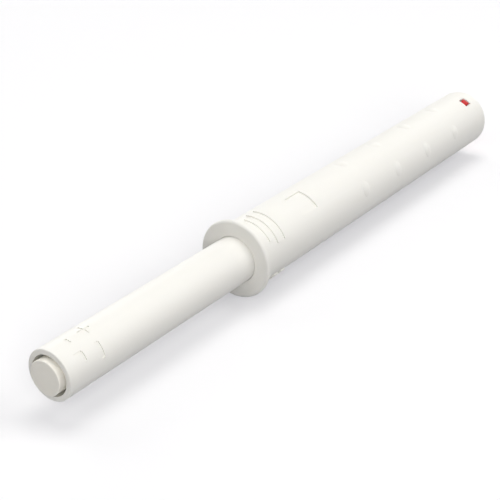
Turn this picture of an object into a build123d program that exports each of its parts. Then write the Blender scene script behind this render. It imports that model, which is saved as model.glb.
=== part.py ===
from build123d import *
import os
from math import asin, cos, radians, sin, tan

os.makedirs("parts", exist_ok=True)

# Touch latch for a drilled hole, shown with its plunger out. All lengths in millimetres.
# The axis is Y. The plunger points to -Y, the closed end to +Y, and +Z is up.
# The origin lies on the axis, in the plane where the flange sits on the cabinet.

# Housing
barrel_diameter = 9.7
barrel_depth = 69.75  # from the flange seat to the rear end
barrel_wall = 0.8
flange_diameter = 11.6
flange_thickness = 0.6
flange_round = 0.4
flange_back_round = 0.08
flange_root_round = 0.25
mouth_depth = 7.25  # the narrow mouth ends here and stops the carriage
rear_round = 0.6
rear_lead_in = 0.15
marked_side = 25.4  # roll of the marked side from straight up towards +X, in degrees

# Raised ribs behind the flange, on the marked side and, twice as long, on the side opposite to it
rib_height = 0.2
rib_width = 0.8
rib_starts = (2.25, 3.7, 5.4)  # front edge of each rib, from the flange seat
rib_spans = (60.0, 77.0, 77.0)  # degrees round the barrel on the marked side
far_rib_ratio = 2.0

# Shallow pocket behind the ribs
pocket_start = 11.45
pocket_length = 3.75
pocket_span = 46.0  # degrees round the barrel
pocket_sink = 0.25

# Crush nubs that grip the drilled hole
nub_height = 0.2
nub_base = 1.9
nub_rolls = (-3.0, 69.0)  # two rows, each with another opposite to it, in degrees
nub_pitch = 10.0
nubs_in_row = 4
first_nub = 27.85

# Windows for the lugs of the latch core
window_from_end = 3.6  # centre of the window, from the rear end
window_count = 2

# Plunger
plunger_diameter = 6.9
plunger_reach = 36.65  # from the flange front to the tip, and also the full stroke
tip_wall = 0.7
tip_round = 0.15
lead_in = 0.3
bumper_pocket = 6.5
retaining_ring = 1.0
ring_bore = 3.9
thread_start = 17.5  # from the retaining ring to the threaded stretch
thread_length = 8.0

# Bumper and the rod behind it
bumper_stand_out = 0.75
bumper_round = 0.12
stem_diameter = 2.4
stem_length = 4.5
bead_height = 0.35  # round the stem
bead_length = 1.0
bead_flat = 0.5
bead_from_ring = 2.6
barb_hook = 0.25  # behind the retaining ring
barb_length = 1.6
key_width = 2.6
key_length = 20.0

# Plus, minus and turning marks cut into the plunger near its tip
mark_width = 0.3
mark_depth = 0.15
# Across the tube: distance from the tip, first roll, last roll
mark_rings = ((6.0, -15, 17), (3.05, -2, 14), (6.0, 42, 76), (3.2, 42, 62))
# Along the tube: start and end from the tip, roll
mark_bars = ((5.05, 6.95, 1), (5.45, 6.0, 43), (5.4, 6.0, 75), (1.95, 3.2, 42))

# Carriage
spigot_diameter = 4.8
spigot_length = 28.0
socket_depth = 17.0
collar_length = 5.0
draw_in = 1.0  # the plunger can be screwed in this far
boss_length = 1.0
tongue_length = 4.4
stop_rib_width = 0.5
stop_rib_height = 0.3
stop_rib_length = 0.9

# Follower wire and its pivot
wire_diameter = 0.8
wire_bend = 0.55
wire_arm = 9.0  # from the pivot to the pin that runs in the cam
pivot_from_collar = 3.8
pivot_leg = 2.2  # the leg in the pivot hole, below the arm
pin_leg = 1.5  # the pin in the cam track, above the arm

# Heart-shaped cam
lane_offset = 1.5  # each lane of the track from the middle
funnel_flare = 0.3  # each side
funnel_length = 2.0
rear_slope = 30.0  # degrees
cam_block_length = 12.8
latch_return = 2.1  # the pin drops back this far into the notch
notch_offset = 0.25
tooth_offset = -0.05  # the tooth between the two slopes, from the middle
vee_depth = 0.7  # from the pin in the notch to the bottom of the vee
island_length = 4.6
island_taper = 1.8
horn_rise = 0.3

# Latch core
plug_length = 5.4
plug_recess = 0.3  # behind the rear end of the housing
arm_thickness = 1.3
cup_depth = 3.8
lug_length = 1.14
lug_width = 1.1
lug_ramp = 0.4
lug_sink = 0.05  # below the barrel surface
arm_slot = 0.5

# Spring
spring_wire = 0.6
spring_turns = 18.0

# Clearances
running_fit = 0.06
wire_fit = 0.1
key_fit = 0.1
snap_fit = 0.05
seat_gap = 0.05
window_gap = 0.3
bumper_gap = 0.4
draw_in_gap = 0.3  # left behind the plunger when it is screwed right in
spring_gap = 0.2  # from the spring to the guide bore
core_gap = 0.15  # from the spring to everything that runs inside it
lane_gap = 0.15  # from the pin to the outer wall of a lane
island_gap = 0.2  # from the pin to the island
track_floor_gap = 0.25

# Worked out from the values above
barrel_radius = barrel_diameter / 2
guide_radius = barrel_radius - barrel_wall
flange_radius = flange_diameter / 2
plunger_radius = plunger_diameter / 2
tip_bore_radius = plunger_radius - tip_wall
bumper_radius = tip_bore_radius - bumper_gap
stem_radius = stem_diameter / 2
bead_radius = stem_radius + bead_height
ring_bore_radius = ring_bore / 2
barb_radius = ring_bore_radius + barb_hook
spigot_radius = spigot_diameter / 2
spring_radius = guide_radius - spring_gap
core_radius = spring_radius - spring_wire - core_gap
wire_radius = wire_diameter / 2
level_gap = wire_radius + wire_fit  # half the slit in which the wire swings
window_length = lug_length + 2 * window_gap
window_width = lug_width + 2 * window_gap
stroke = plunger_reach
flange_front = -flange_thickness
tip = flange_front - plunger_reach
ring_front = tip + bumper_pocket
ring_rear = ring_front + retaining_ring
nut_front = ring_rear + thread_start
nut_rear = nut_front + thread_length
collar_front = mouth_depth + seat_gap
collar_rear = collar_front + collar_length
plunger_rear = collar_front - draw_in - draw_in_gap
spigot_front = collar_front - spigot_length
boss_rear = collar_rear + boss_length
tongue_rear = boss_rear + tongue_length
pivot_y = collar_rear + pivot_from_collar
rest_angle = asin(lane_offset / wire_arm)
pin_rest_y = pivot_y + wire_arm * cos(rest_angle)
pin_bottom_y = pin_rest_y + stroke
track_half_width = lane_offset + wire_radius + lane_gap
track_depth = pin_leg - level_gap + track_floor_gap
island_half_width = lane_offset - wire_radius - island_gap
plug_rear = barrel_depth - plug_recess
plug_front = plug_rear - plug_length
plug_radius = guide_radius - snap_fit
cup_radius = plug_radius - arm_thickness
window_y = barrel_depth - window_from_end


def level(height):
    """The plane of the mechanism, height above the axis: local y is +Y, its normal the marked side."""
    roll = radians(marked_side)
    out = Vector(sin(roll), 0, cos(roll))
    return Plane(origin=out * height, x_dir=(cos(roll), 0, -sin(roll)), z_dir=out)


def across(y, roll=marked_side):
    """The plane square to the axis at y: its local y points to the side with that roll."""
    angle = radians(roll)
    return Plane(origin=(0, y, 0), x_dir=(cos(angle), 0, -sin(angle)), z_dir=(0, -1, 0))


def half_section(roll):
    """The plane through the axis at that roll: local x points outwards and local y is +Y."""
    angle = radians(roll)
    return Plane(origin=(0, 0, 0), x_dir=(sin(angle), 0, cos(angle)), z_dir=(-cos(angle), 0, sin(angle)))


def save(piece, name):
    """Labels the piece and writes it."""
    piece.part.label = name
    export_step(piece.part, "parts/" + name + ".step")


# Housing: flanged tube with ribs, crush nubs, a marked pocket and the lug windows
with BuildPart() as housing:
    with BuildSketch(half_section(0)):
        with BuildLine():
            Polyline(
                (0, flange_front),
                (flange_radius, flange_front),
                (flange_radius, 0),
                (barrel_radius, 0),
                (barrel_radius, barrel_depth),
                (0, barrel_depth),
                close=True,
            )
        make_face()
    revolve(axis=Axis.Y)
    circles = housing.edges().filter_by(GeomType.CIRCLE).group_by(Axis.Y)
    rear_edge = circles[-1]
    root_edge, back_edge = circles[-2].sort_by(SortBy.RADIUS)
    front_edge = circles[0]
    fillet(front_edge, flange_round)
    fillet(back_edge, flange_back_round)
    fillet(root_edge, flange_root_round)
    fillet(rear_edge, rear_round)
    # Each nub is the cap of a ball that is sunk into the solid barrel
    ball = ((nub_base / 2) ** 2 + nub_height**2) / (2 * nub_height)
    for roll in nub_rolls:
        for step in range(nubs_in_row):
            with Locations(across(first_nub + step * nub_pitch, roll)):
                with PolarLocations(barrel_radius + nub_height - ball, 2, start_angle=90):
                    Sphere(ball)
    for start, span in zip(rib_starts, rib_spans):
        for middle, arc in ((marked_side, span), (marked_side + 180, span * far_rib_ratio)):
            with BuildSketch(half_section(middle - arc / 2)):
                with Locations((barrel_radius, start + rib_width / 2)):
                    Rectangle(2 * rib_height, rib_width)
            revolve(axis=Axis.Y, revolution_arc=arc)
    # The stepped bore, with a lead-in at the rear
    with BuildSketch(half_section(0)):
        with BuildLine():
            mouth = plunger_radius + running_fit
            Polyline(
                (0, flange_front),
                (mouth, flange_front),
                (mouth, mouth_depth),
                (guide_radius, mouth_depth),
                (guide_radius, barrel_depth - rear_lead_in),
                (guide_radius + rear_lead_in, barrel_depth),
                (0, barrel_depth),
                close=True,
            )
        make_face()
    revolve(axis=Axis.Y, mode=Mode.SUBTRACT)
    with BuildSketch(half_section(marked_side - pocket_span / 2)):
        with Locations((barrel_radius, pocket_start + pocket_length / 2)):
            Rectangle(2 * pocket_sink, pocket_length)
    revolve(axis=Axis.Y, revolution_arc=pocket_span, mode=Mode.SUBTRACT)
    with Locations(across(window_y)):
        with PolarLocations(barrel_radius, window_count, start_angle=90):
            Box(barrel_radius, window_width, window_length, mode=Mode.SUBTRACT)
save(housing, "housing")

# Plunger: the tube that is pushed, with its retaining ring and threaded stretch
with BuildPart() as plunger:
    with BuildSketch(half_section(0)):
        with BuildLine():
            Polyline(
                (tip_bore_radius, tip),
                (plunger_radius, tip),
                (plunger_radius, plunger_rear),
                (tip_bore_radius, plunger_rear),
                (tip_bore_radius, nut_rear),
                (spigot_radius + running_fit, nut_rear),
                (spigot_radius + running_fit, nut_front),
                (tip_bore_radius, nut_front),
                (tip_bore_radius, ring_rear),
                (ring_bore_radius, ring_rear),
                (ring_bore_radius, ring_front),
                (tip_bore_radius, ring_front),
                close=True,
            )
        make_face()
    revolve(axis=Axis.Y)
    tip_edge = plunger.edges().filter_by(GeomType.CIRCLE).group_by(Axis.Y)[0].sort_by(SortBy.RADIUS)[-1]
    fillet(tip_edge, tip_round)
    for place, first, last in mark_rings:
        with BuildSketch(half_section(first)):
            with Locations((plunger_radius, tip + place)):
                Rectangle(2 * mark_depth, mark_width)
        revolve(axis=Axis.Y, revolution_arc=last - first, mode=Mode.SUBTRACT)
    for front, rear, roll in mark_bars:
        with Locations(across(tip + (front + rear) / 2, roll)):
            with Locations((0, plunger_radius)):
                Box(mark_width, 2 * mark_depth, rear - front, mode=Mode.SUBTRACT)
save(plunger, "plunger")

# Bumper: soft pad in the tip, with a socket for the bead of the rod
with BuildPart() as bumper:
    bumper_front = tip - bumper_stand_out
    bumper_rear = ring_front - seat_gap
    bead_y = bumper_rear - bead_from_ring
    stem_hole = stem_radius + snap_fit
    bead_groove = bead_radius + snap_fit
    half_groove = bead_length / 2 + snap_fit
    hole_end = bumper_rear - stem_length - snap_fit
    with BuildSketch(half_section(0)):
        with BuildLine():
            Polyline(
                (0, bumper_front),
                (bumper_radius, bumper_front),
                (bumper_radius, bumper_rear),
                (stem_hole, bumper_rear),
                (stem_hole, bead_y + half_groove),
                (bead_groove, bead_y + half_groove),
                (bead_groove, bead_y - half_groove),
                (stem_hole, bead_y - half_groove),
                (stem_hole, hole_end),
                (0, hole_end),
                close=True,
            )
        make_face()
    revolve(axis=Axis.Y)
    fillet(bumper.edges().filter_by(GeomType.CIRCLE).group_by(Axis.Y)[0], bumper_round)
save(bumper, "bumper")

# Key rod: beaded stem in the bumper, barb behind the ring, square rod in the carriage
with BuildPart() as key_rod:
    neck = ring_bore_radius - running_fit
    barb_front = ring_rear + seat_gap
    with BuildSketch(half_section(0)):
        with BuildLine():
            Polyline(
                (0, bumper_rear - stem_length),
                (stem_radius, bumper_rear - stem_length),
                (stem_radius, bead_y - bead_length / 2),
                (bead_radius, bead_y - bead_flat / 2),
                (bead_radius, bead_y + bead_flat / 2),
                (stem_radius, bead_y + bead_length / 2),
                (stem_radius, ring_front),
                (neck, ring_front),
                (neck, barb_front),
                (barb_radius, barb_front),
                (key_width / 2, barb_front + barb_length),
                (0, barb_front + barb_length),
                close=True,
            )
        make_face()
    revolve(axis=Axis.Y)
    with BuildSketch(across(barb_front)):
        Rectangle(key_width, key_width)
    extrude(amount=-key_length)
save(key_rod, "key_rod")

# Carriage: threaded spigot, guide collar, spring seat and the tongue that holds the wire
with BuildPart() as carriage:
    with BuildSketch(half_section(0)):
        with BuildLine():
            Polyline(
                (0, spigot_front),
                (spigot_radius - lead_in, spigot_front),
                (spigot_radius, spigot_front + lead_in),
                (spigot_radius, collar_front),
                (guide_radius - running_fit, collar_front),
                (guide_radius - running_fit, collar_rear),
                (core_radius, collar_rear),
                (core_radius, boss_rear),
                (0, boss_rear),
                close=True,
            )
        make_face()
    revolve(axis=Axis.Y)
    with BuildSketch(across(spigot_front)):
        Rectangle(key_width + 2 * key_fit, key_width + 2 * key_fit)
    extrude(amount=-socket_depth, mode=Mode.SUBTRACT)
    # The tongue is the lower part of a round bar, so that the wire lies flat on it
    with BuildSketch(across(boss_rear)):
        Circle(core_radius)
        with Locations((0, core_radius - level_gap)):
            Rectangle(2 * core_radius, 2 * core_radius, mode=Mode.SUBTRACT)
    extrude(amount=-tongue_length)
    with BuildSketch(level(-level_gap)):
        with Locations((0, pivot_y)):
            Circle(wire_radius + wire_fit)
    extrude(amount=-core_radius, mode=Mode.SUBTRACT)
    # Two ribs limit the swing of the wire
    with BuildSketch(level(-level_gap)):
        rib_y = tongue_rear - stop_rib_length / 2
        wire_x = (tongue_rear - pivot_y) * tan(rest_angle) + wire_radius / cos(rest_angle) + wire_fit
        with Locations((wire_x + stop_rib_width / 2, rib_y), (-wire_x - stop_rib_width / 2, rib_y)):
            Rectangle(stop_rib_width, stop_rib_length)
    extrude(amount=stop_rib_height)
save(carriage, "carriage")

# Follower wire: one leg turns in the tongue, the other is the pin in the cam track
with BuildPart() as follower_wire:
    side = level(0)
    pin_x = -lane_offset
    with BuildLine():
        FilletPolyline(
            side.from_local_coords((0, pivot_y, -pivot_leg)),
            side.from_local_coords((0, pivot_y, 0)),
            side.from_local_coords((pin_x, pin_rest_y, 0)),
            side.from_local_coords((pin_x, pin_rest_y, pin_leg)),
            radius=wire_bend,
        )
    with BuildSketch(Plane(origin=side.from_local_coords((0, pivot_y, -pivot_leg)), z_dir=side.z_dir)):
        Circle(wire_radius)
    sweep()
save(follower_wire, "follower_wire")

# Latch core: end plug with two snap lugs, and the block with the heart-shaped cam
with BuildPart() as latch_core:
    with BuildSketch(across(plug_front)):
        Circle(plug_radius)
    extrude(amount=-plug_length)
    with BuildSketch(across(plug_rear)):
        Circle(cup_radius)
    extrude(amount=cup_depth, mode=Mode.SUBTRACT)
    # A lug stands on an arm between two slots, and its ramp eases it into the housing
    lug_top = barrel_radius - lug_sink
    lug_foot = plug_radius - arm_thickness / 2
    slot_side = (lug_width + arm_slot) / 2
    lug_front = window_y - lug_length / 2
    lug_rear = window_y + lug_length / 2
    for turn in range(window_count):
        with BuildSketch(half_section(marked_side + turn * 360 / window_count)):
            with BuildLine():
                Polyline(
                    (lug_foot, lug_front),
                    (lug_top - lug_ramp, lug_front),
                    (lug_top, lug_front + lug_ramp),
                    (lug_top, lug_rear),
                    (lug_foot, lug_rear),
                    close=True,
                )
            make_face()
        extrude(amount=lug_width / 2, both=True)
    with Locations(across(plug_rear - cup_depth / 2)):
        with PolarLocations(plug_radius, window_count, start_angle=90):
            with Locations((0, slot_side, 0), (0, -slot_side, 0)):
                Box(2 * arm_thickness, arm_slot, cup_depth, mode=Mode.SUBTRACT)
    # The cam block is the upper part of a round bar, over the slit of the wire
    with BuildSketch(across(plug_front)):
        Circle(core_radius)
        with Locations((0, level_gap - core_radius)):
            Rectangle(2 * core_radius, 2 * core_radius, mode=Mode.SUBTRACT)
    extrude(amount=cam_block_length)
    # Track: a funnel, one lane each side of the island, and two slopes that move the pin sideways
    block_front = plug_front - cam_block_length
    slope = tan(radians(rear_slope))
    touch_y = pin_bottom_y + (wire_radius + seat_gap) / cos(radians(rear_slope))
    first_low_y = touch_y - slope * (track_half_width - lane_offset)
    first_high_y = touch_y + slope * (lane_offset + tooth_offset)
    tooth_y = pin_bottom_y - latch_return / 2 + wire_radius
    second_high_y = pin_bottom_y + wire_diameter
    funnel_half_width = track_half_width + funnel_flare
    with BuildSketch(level(level_gap)):
        with BuildLine():
            Polyline(
                (-funnel_half_width, block_front),
                (-track_half_width, block_front + funnel_length),
                (-track_half_width, first_low_y),
                (tooth_offset, first_high_y),
                (tooth_offset, tooth_y),
                (lane_offset - wire_radius, second_high_y),
                (track_half_width, second_high_y),
                (track_half_width, block_front + funnel_length),
                (funnel_half_width, block_front),
                close=True,
            )
        make_face()
    extrude(amount=track_depth, mode=Mode.SUBTRACT)
    # Island: a heart whose rear notch holds the pin while the door is shut
    notch_y = pin_bottom_y - latch_return
    notch_radius = wire_radius + seat_gap
    island_rear = notch_y + horn_rise
    island_front = island_rear - island_length
    with BuildSketch(level(level_gap)):
        with BuildLine():
            Polyline(
                (0, island_front),
                (island_half_width, island_front + island_taper),
                (island_half_width, notch_y - horn_rise),
                (notch_offset, notch_y - vee_depth),
                (-island_half_width, island_rear),
                (-island_half_width, island_front + island_taper),
                close=True,
            )
        make_face()
        with Locations((notch_offset, notch_y)):
            Circle(notch_radius, mode=Mode.SUBTRACT)
    extrude(amount=track_depth)
save(latch_core, "latch_core")

# Main spring between the carriage and the plug
with BuildPart() as main_spring:
    spring_front = collar_rear + spring_wire / 2 + seat_gap
    spring_rear = plug_front - spring_wire / 2 - seat_gap
    spring_length = spring_rear - spring_front
    with BuildLine():
        coil = Helix(
            pitch=spring_length / spring_turns,
            height=spring_length,
            radius=spring_radius - spring_wire / 2,
            center=(0, spring_front, 0),
            direction=(0, 1, 0),
        )
    # Eight flats keep the many turns light
    with BuildSketch(Plane(origin=coil @ 0, z_dir=coil % 0)):
        RegularPolygon(spring_wire / 2, 8)
    sweep(is_frenet=True)
save(main_spring, "main_spring")
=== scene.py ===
import math

import bpy
from mathutils import Matrix, Vector


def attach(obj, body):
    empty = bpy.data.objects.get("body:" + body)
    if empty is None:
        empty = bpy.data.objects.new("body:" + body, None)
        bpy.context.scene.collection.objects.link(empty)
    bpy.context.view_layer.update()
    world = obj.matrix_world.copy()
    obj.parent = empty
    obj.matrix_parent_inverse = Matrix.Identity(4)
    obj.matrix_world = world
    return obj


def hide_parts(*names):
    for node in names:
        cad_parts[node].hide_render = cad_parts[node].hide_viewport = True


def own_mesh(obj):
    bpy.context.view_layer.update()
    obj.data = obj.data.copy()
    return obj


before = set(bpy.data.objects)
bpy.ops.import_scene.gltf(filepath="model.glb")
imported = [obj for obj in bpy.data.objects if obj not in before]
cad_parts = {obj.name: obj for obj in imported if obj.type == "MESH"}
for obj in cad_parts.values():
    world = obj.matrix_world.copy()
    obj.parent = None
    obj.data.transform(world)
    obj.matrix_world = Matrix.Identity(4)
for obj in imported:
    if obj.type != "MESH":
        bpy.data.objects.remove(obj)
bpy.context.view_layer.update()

# Everything is in metres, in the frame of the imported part: the axis is Y, the plunger points to -Y, +Z is up.
mm = 0.001
print("frame loaded:", len(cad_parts), "nodes")


# sRGB hex to the linear values that the shaders take
def linear(hexCode):
    parts = [int(hexCode[i:i + 2], 16) / 255 for i in (1, 3, 5)]
    return [p / 12.92 if p <= 0.04045 else ((p + 0.055) / 1.055) ** 2.4 for p in parts] + [1.0]


# Adds one node: settings are its own options, inputs are values or the outputs that feed it
def addNode(tree, kind, settings=None, inputs=None):
    node = tree.nodes.new(kind)
    for name, value in (settings or {}).items():
        setattr(node, name, value)
    for key, value in (inputs or {}).items():
        if isinstance(value, bpy.types.NodeSocket):
            tree.links.new(value, node.inputs[key])
        else:
            node.inputs[key].default_value = value
    return node


def newMaterial(name):
    material = bpy.data.materials.new(name)
    material.use_nodes = True
    material.node_tree.nodes.clear()
    return material, material.node_tree


# Puts one material on a piece, in place of what the frame came with
def dress(piece, material):
    piece.data.materials.clear()
    piece.data.materials.append(material)


# What all moulded pieces share: how broken up each pattern is, and the flow's values where it is least and
# most dull
mouldingSettings = {
    "flowNoise": {"Detail": 3.0, "Roughness": 0.55},
    "sinkNoise": {"Detail": 1.0, "Roughness": 0.4},
    "grainNoise": {"Detail": 2.0, "Roughness": 0.6},
    "dullFrom": 0.25,
    "dullTo": 0.75,
}


# Moulded plastic: a faint long flow from the gate, shallow sink and the grain of the spark-eroded mould
def mouldedSurface(tree, look, shared):
    spot = addNode(tree, "ShaderNodeTexCoord")
    here = spot.outputs["Object"]
    across, lengthwise = 1 / look["flowWidth"], 1 / look["flowLength"]
    along = addNode(tree, "ShaderNodeMapping", inputs={"Vector": here, "Scale": (across, lengthwise, across)})
    flow = addNode(tree, "ShaderNodeTexNoise", inputs={
        "Vector": along.outputs[0], "Scale": 1.0, **shared["flowNoise"]})
    sink = addNode(tree, "ShaderNodeTexNoise", inputs={
        "Vector": here, "Scale": 1 / look["sinkSize"], **shared["sinkNoise"]})
    grain = addNode(tree, "ShaderNodeTexNoise", inputs={
        "Vector": here, "Scale": 1 / look["grainSize"], **shared["grainNoise"]})
    # 6 and 7 are the two colours of the mix
    colour = addNode(tree, "ShaderNodeMix", {"data_type": "RGBA"}, {
        "Factor": flow.outputs["Fac"], 6: linear(look["colour"]), 7: linear(look["flowColour"])})
    gloss = addNode(tree, "ShaderNodeMapRange", inputs={
        "Value": flow.outputs["Fac"], "From Min": shared["dullFrom"], "From Max": shared["dullTo"],
        "To Min": look["roughness"] - look["roughnessSwing"],
        "To Max": look["roughness"] + look["roughnessSwing"]})
    sinkHeight = addNode(tree, "ShaderNodeMath", {"operation": "MULTIPLY"}, {
        0: sink.outputs["Fac"], 1: look["sinkDepth"]})
    height = addNode(tree, "ShaderNodeMath", {"operation": "MULTIPLY_ADD"}, {
        0: grain.outputs["Fac"], 1: look["grainDepth"], 2: sinkHeight.outputs[0]})
    return colour.outputs[2], gloss.outputs[0], height.outputs[0]


# The moulded surface, closed off with its shader
def mouldedPlastic(name, look):
    material, tree = newMaterial(name)
    colour, gloss, height = mouldedSurface(tree, look, mouldingSettings)
    bump = addNode(tree, "ShaderNodeBump", inputs={"Strength": 1.0, "Distance": 1.0, "Height": height})
    shader = addNode(tree, "ShaderNodeBsdfPrincipled", inputs={
        "Base Color": colour, "Roughness": gloss, "IOR": look["ior"], "Normal": bump.outputs[0],
        "Subsurface Weight": look["glow"], "Subsurface Radius": look["glowRadius"], "Subsurface Scale": mm})
    addNode(tree, "ShaderNodeOutputMaterial", inputs={"Surface": shader.outputs[0]})
    return material


# Housing and plunger
acetalSettings = {
    "colour": "#f4f2ec",
    "flowColour": "#f0eee7",
    "roughness": 0.42,
    "roughnessSwing": 0.05,
    "ior": 1.48,
    "flowWidth": 3.5 * mm,
    "flowLength": 30 * mm,
    "sinkSize": 7 * mm,
    "sinkDepth": 0.012 * mm,
    "grainSize": 0.25 * mm,  # the mould's grain is about 0.08 mm, drawn three times as coarse so that it shows
    "grainDepth": 0.0015 * mm,
    "glow": 0.04,
    "glowRadius": (0.9, 0.8, 0.65),
}

# Acetal straight from an eroded mould: a soft satin off-white that lets a little light in at thin edges
acetal = mouldedPlastic("acetal moulded satin", acetalSettings)
dress(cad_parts["housing"], acetal)
dress(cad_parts["plunger"], acetal)
print("housing and plunger dressed")

# Bumper
bumperSettings = {
    "colour": "#fcf8ee",
    "flowColour": "#f6f2e7",
    "roughness": 0.62,
    "roughnessSwing": 0.04,
    "ior": 1.5,
    "flowWidth": 2 * mm,
    "flowLength": 3 * mm,
    "sinkSize": 3 * mm,
    "sinkDepth": 0.008 * mm,
    "grainSize": 0.2 * mm,
    "grainDepth": 0.003 * mm,
    "glow": 0.04,
    "glowRadius": (1.0, 0.85, 0.7),
}

# Thermoplastic rubber, moulded: duller than the hard plastic round it, with no crisp reflections
dress(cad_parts["bumper"], mouldedPlastic("thermoplastic rubber moulded", bumperSettings))
print("bumper dressed")

# Latch core
coreSettings = {
    "colour": "#c8050c",
    "flowColour": "#b80409",
    "roughness": 0.55,
    "roughnessSwing": 0.05,
    "ior": 1.48,
    "flowWidth": 1.5 * mm,
    "flowLength": 8 * mm,
    "sinkSize": 3 * mm,
    "sinkDepth": 0.01 * mm,
    "grainSize": 0.2 * mm,
    "grainDepth": 0.001 * mm,
    "glow": 0.05,
    "glowRadius": (0.8, 0.2, 0.15),
}

# Acetal dyed through in red and moulded: a clear red with a smooth, slightly glossy skin
dress(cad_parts["latch_core"], mouldedPlastic("acetal dyed red moulded", coreSettings))
print("latch core dressed")

# Carriage
carriageSettings = {
    "colour": "#c3c3bd",
    "flowColour": "#b7b7b0",
    "roughness": 0.38,
    "roughnessSwing": 0.06,
    "ior": 1.48,
    "flowWidth": 2 * mm,
    "flowLength": 16 * mm,
    "sinkSize": 4 * mm,
    "sinkDepth": 0.01 * mm,
    "grainSize": 0.22 * mm,
    "grainDepth": 0.001 * mm,
    "glow": 0.05,
    "glowRadius": (0.7, 0.7, 0.65),
}

# Acetal for sliding, moulded: light grey and slippery looking
dress(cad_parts["carriage"], mouldedPlastic("acetal grey moulded", carriageSettings))
print("carriage dressed")

# Key rod
keySettings = {
    "colour": "#e3dfd2",
    "flowColour": "#d8d3c4",
    "roughness": 0.45,
    "roughnessSwing": 0.06,
    "ior": 1.53,
    "flowWidth": 1.2 * mm,
    "flowLength": 10 * mm,
    "sinkSize": 3 * mm,
    "sinkDepth": 0.008 * mm,
    "grainSize": 0.22 * mm,
    "grainDepth": 0.0015 * mm,
    "glow": 0.2,
    "glowRadius": (1.2, 1.0, 0.7),
}

# Natural nylon, moulded: creamy, a little see-through at the edges
dress(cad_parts["key_rod"], mouldedPlastic("natural nylon moulded", keySettings))
print("key rod dressed")


# What both wires share
drawingSettings = {
    "lineNoise": {"Detail": 3.0, "Roughness": 0.6},
    "dullFrom": 0.3,
    "dullTo": 0.7,
}


# Drawn wire: bright steel with fine lines that run along it
def drawnSteel(name, look, wireCoordinate):
    material, tree = newMaterial(name)
    shared = drawingSettings
    spot = addNode(tree, "ShaderNodeTexCoord")
    stretched = addNode(tree, "ShaderNodeMapping", inputs={
        "Vector": spot.outputs[wireCoordinate], "Scale": look["lineScale"]})
    lines = addNode(tree, "ShaderNodeTexNoise", inputs={
        "Vector": stretched.outputs[0], "Scale": 1.0, **shared["lineNoise"]})
    colour = addNode(tree, "ShaderNodeMix", {"data_type": "RGBA"}, {
        "Factor": lines.outputs["Fac"], 6: linear(look["colour"]), 7: linear(look["lineColour"])})
    gloss = addNode(tree, "ShaderNodeMapRange", inputs={
        "Value": lines.outputs["Fac"], "From Min": shared["dullFrom"], "From Max": shared["dullTo"],
        "To Min": look["roughness"] - look["roughnessSwing"],
        "To Max": look["roughness"] + look["roughnessSwing"]})
    depth = addNode(tree, "ShaderNodeMath", {"operation": "MULTIPLY"}, {
        0: lines.outputs["Fac"], 1: look["lineDepth"]})
    bump = addNode(tree, "ShaderNodeBump", inputs={
        "Strength": 1.0, "Distance": 1.0, "Height": depth.outputs[0]})
    shader = addNode(tree, "ShaderNodeBsdfPrincipled", inputs={
        "Base Color": colour.outputs[2], "Metallic": 1.0, "Roughness": gloss.outputs[0],
        "Normal": bump.outputs[0]})
    addNode(tree, "ShaderNodeOutputMaterial", inputs={"Surface": shader.outputs[0]})
    return material


# Spring
springSettings = {
    "wire": 0.6 * mm,
    "coilRadius": 3.55 * mm,
    "front": 12.35 * mm,  # its seat on the carriage
    "rear": 64.0 * mm,  # its seat on the latch core
    "turns": 18,
    "closedTurns": 1.0,  # at each end, wound tight and ground flat
    "closedPitch": 1.02,  # rise of a closed turn, in wire diameters
    "closedShare": 0.75,  # how much of its rise a closed turn keeps after grinding
    "stepsPerTurn": 40,
    "wireSides": 12,
    "colour": "#c9cbcd",
    "lineColour": "#a2a5a9",
    "roughness": 0.3,
    "roughnessSwing": 0.08,
    "lineScale": (60.0, 1.2, 1.0),  # per turn of the wire's girth and per millimetre along it
    "lineDepth": 0.0008 * mm,
    "fixedEnd": 64.05 * mm,
    "travel": 36.65 * mm,
}


# How far along the axis the wire's middle is after a number of turns
def springRise(turn, s):
    closed, tight = s["closedTurns"], s["wire"] * s["closedPitch"]
    start = s["front"] + s["wire"] / 2 + tight * closed * s["closedShare"]
    end = s["rear"] - s["wire"] / 2 - tight * closed * s["closedShare"]
    if turn <= closed:
        return start + tight * (turn - closed)
    if turn >= s["turns"] - closed:
        return end + tight * (turn - s["turns"] + closed)
    return start + (end - start) * (turn - closed) / (s["turns"] - 2 * closed)


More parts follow.
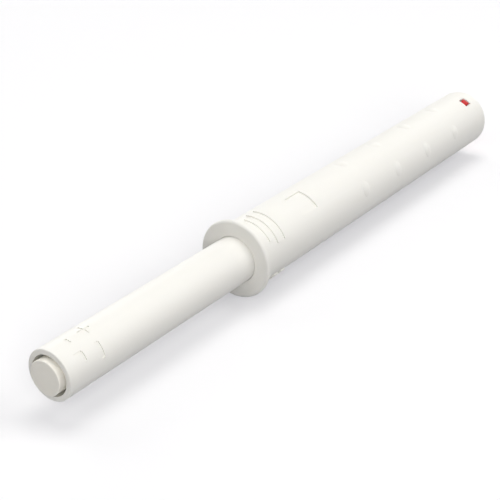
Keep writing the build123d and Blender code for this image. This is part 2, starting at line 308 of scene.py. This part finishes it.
def makeSpring(s):
    count = int(s["turns"] * s["stepsPerTurn"])
    points, faces, around = [], [], []
    for i in range(count + 1):
        turn = i / s["stepsPerTurn"]
        angle = turn * 2 * math.pi
        out = Vector((math.cos(angle), 0, math.sin(angle)))
        middle = out * s["coilRadius"] + Vector((0, springRise(turn, s), 0))
        for j in range(s["wireSides"]):
            a = j / s["wireSides"] * 2 * math.pi
            p = middle + (out * math.cos(a) + Vector((0, 1, 0)) * math.sin(a)) * s["wire"] / 2
            p.y = min(max(p.y, s["front"]), s["rear"])  # the ground ends
            points.append(p)
    for i in range(count):
        for j in range(s["wireSides"]):
            k = (j + 1) % s["wireSides"]
            a, b = i * s["wireSides"], (i + 1) * s["wireSides"]
            faces.append((a + j, b + j, b + k, a + k))
            near, far = j / s["wireSides"], (j + 1) / s["wireSides"]
            first, last = [n / s["stepsPerTurn"] * 2 * math.pi * s["coilRadius"] / mm for n in (i, i + 1)]
            around += [(near, first), (near, last), (far, last), (far, first)]
    faces.append(tuple(range(s["wireSides"])))
    faces.append(tuple(count * s["wireSides"] + j for j in reversed(range(s["wireSides"]))))
    around += [(0, 0)] * (2 * s["wireSides"])
    mesh = bpy.data.meshes.new("spring coil")
    mesh.from_pydata([tuple(p) for p in points], [], faces)
    layer = mesh.uv_layers.new(name="wire")
    for loop, uv in zip(layer.data, around):
        loop.uv = uv
    mesh.polygons.foreach_set("use_smooth", [len(f) == 4 for f in faces])
    mesh.update()
    piece = bpy.data.objects.new("springCoil", mesh)
    bpy.context.scene.collection.objects.link(piece)
    return piece


spring = makeSpring(springSettings)
# Music wire, drawn and coiled: bright grey with fine draw lines along each turn
dress(spring, drawnSteel("music wire drawn", springSettings, "UV"))
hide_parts("main_spring")
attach(spring, "housing")
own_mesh(spring)
print("spring made:", len(spring.data.polygons), "faces")

# Follower wire
followerSettings = {
    "colour": "#d3d4d4",
    "lineColour": "#b0b2b4",
    "roughness": 0.26,
    "roughnessSwing": 0.06,
    "lineScale": (9000.0, 400.0, 9000.0),  # lines 0.1 mm apart that run a few millimetres
    "lineDepth": 0.0006 * mm,
}

# Stainless spring wire, drawn and bent: brighter than the coil, with the same lines along it
dress(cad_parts["follower_wire"], drawnSteel("stainless wire drawn", followerSettings, "Object"))
print("follower wire dressed")


# 1 for rays from the camera, a reflection or glass, and 0 for the light that falls on a surface
def seenDirectly(tree):
    ray = addNode(tree, "ShaderNodeLightPath")
    first = addNode(tree, "ShaderNodeMath", {"operation": "MAXIMUM"}, {
        0: ray.outputs["Is Camera Ray"], 1: ray.outputs["Is Glossy Ray"]})
    either = addNode(tree, "ShaderNodeMath", {"operation": "MAXIMUM"}, {
        0: first.outputs[0], 1: ray.outputs["Is Transmission Ray"]})
    return either.outputs[0]


# Floor
floorSettings = {
    "size": 4.0,
    "height": -6.6 * mm,  # the shadow in the photo lies this far below the axis
    "roughness": 0.5,
    "colour": "#e3e2e0",  # as the camera sees it
    "thrownColour": "#aeaeb1",  # what the latch gets back from it, less than a full white room would give
    "lift": 0.25,  # brings the bare floor up to the photo's white without more light on the latch
    "liftColour": "#f2f3ff",  # the slightly blue tint of the photo's shadow
    "fadeFrom": 0.12,  # from here to the next it goes over into the plain white behind the object
    "fadeTo": 0.35,
}


def makeFloor(s):
    half = s["size"] / 2
    corners = [(x, y, s["height"]) for x, y in ((-half, -half), (half, -half), (half, half), (-half, half))]
    mesh = bpy.data.meshes.new("floor sheet")
    mesh.from_pydata(corners, [], [(0, 1, 2, 3)])
    piece = bpy.data.objects.new("floor", mesh)
    bpy.context.scene.collection.objects.link(piece)
    material, tree = newMaterial("white paper backdrop")
    direct = seenDirectly(tree)
    colour = addNode(tree, "ShaderNodeMix", {"data_type": "RGBA"}, {
        "Factor": direct, 6: linear(s["thrownColour"]), 7: linear(s["colour"])})
    paper = addNode(tree, "ShaderNodeBsdfDiffuse", inputs={
        "Color": colour.outputs[2], "Roughness": s["roughness"]})
    seen = addNode(tree, "ShaderNodeMath", {"operation": "MULTIPLY"}, {0: direct, 1: s["lift"]})
    lift = addNode(tree, "ShaderNodeEmission", inputs={
        "Color": linear(s["liftColour"]), "Strength": seen.outputs[0]})
    both = addNode(tree, "ShaderNodeAddShader", inputs={0: paper.outputs[0], 1: lift.outputs[0]})
    spot = addNode(tree, "ShaderNodeTexCoord")
    away = addNode(tree, "ShaderNodeVectorMath", {"operation": "LENGTH"}, {0: spot.outputs["Object"]})
    fade = addNode(tree, "ShaderNodeMapRange", {"interpolation_type": "SMOOTHSTEP"}, {
        "Value": away.outputs["Value"], "From Min": s["fadeFrom"], "From Max": s["fadeTo"]})
    white = addNode(tree, "ShaderNodeEmission", inputs={"Color": (1, 1, 1, 1), "Strength": direct})
    sheet = addNode(tree, "ShaderNodeMixShader", inputs={
        0: fade.outputs[0], 1: both.outputs[0], 2: white.outputs[0]})
    addNode(tree, "ShaderNodeOutputMaterial", inputs={"Surface": sheet.outputs[0]})
    dress(piece, material)
    return piece


# Matt white paper: no reflection of its own, it only takes the soft shadow
floor = makeFloor(floorSettings)
print("floor laid")

# Light
lightSettings = {
    "aim": Vector((0, 15 * mm, 0)),
    "distance": 0.5,
    "size": 0.3,
    # Bearing from the rear end towards +X, height above the floor, both in degrees, and watts
    "softboxes": (
        (0, 88, 0.62), (22, 66, 0.34), (300, 72, 0.28),
        (270, 42, 0.50), (300, 18, 0.40), (0, 18, 0.20),
        (60, 42, 0.66), (60, 18, 0.13), (120, 18, 0.15), (140, 26, 0.96), (180, 42, 0.25),
    ),
}


# Softboxes above and all round, strongest overhead and at the front, so that the shadow stays soft and close
def makeLight(s):
    for bearing, height, power in s["softboxes"]:
        name = f"softbox {bearing} {height}"
        data = bpy.data.lights.new(name, "AREA")
        data.shape = "DISK"
        data.size = s["size"]
        data.energy = power
        lamp = bpy.data.objects.new(name, data)
        turn, rise = math.radians(bearing), math.radians(height)
        away = Vector((math.sin(turn) * math.cos(rise), math.cos(turn) * math.cos(rise), math.sin(rise)))
        lamp.location = s["aim"] + away * s["distance"]
        lamp.rotation_mode = "QUATERNION"
        lamp.rotation_quaternion = away.to_track_quat("Z", "Y")
        bpy.context.scene.collection.objects.link(lamp)


# White behind the object and in what it reflects, while the softboxes alone light it
def makeWorld():
    world = bpy.context.scene.world or bpy.data.worlds.new("studio")
    bpy.context.scene.world = world
    world.use_nodes = True
    tree = world.node_tree
    tree.nodes.clear()
    white = addNode(tree, "ShaderNodeBackground", inputs={
        "Color": (1, 1, 1, 1), "Strength": seenDirectly(tree)})
    addNode(tree, "ShaderNodeOutputWorld", inputs={"Surface": white.outputs[0]})


makeLight(lightSettings)
makeWorld()
print("lights set")

# Camera, where the photo's camera stood
cameraSettings = {
    "place": (0.087028, -0.118668, 0.075096),
    "right": (0.81375, 0.58122, 0.0),
    "down": (0.26044, -0.36464, -0.89398),
    "lens": 84.97,
    "sensor": 36.0,
    "shiftY": -0.001,
    "nearest": 0.01,
    "farthest": 20.0,
}


def makeCamera(s):
    data = bpy.data.cameras.new("photo camera")
    data.lens = s["lens"]
    data.sensor_width = s["sensor"]
    data.shift_y = s["shiftY"]
    data.clip_start = s["nearest"]
    data.clip_end = s["farthest"]
    right, up = Vector(s["right"]).normalized(), -Vector(s["down"]).normalized()
    back = right.cross(up)
    turn = Matrix((right, up, back)).transposed().to_4x4()
    piece = bpy.data.objects.new("photo camera", data)
    piece.matrix_world = Matrix.Translation(s["place"]) @ turn
    bpy.context.scene.collection.objects.link(piece)
    bpy.context.scene.camera = piece


makeCamera(cameraSettings)
bpy.context.scene.view_settings.view_transform = "Standard"
print("camera set")
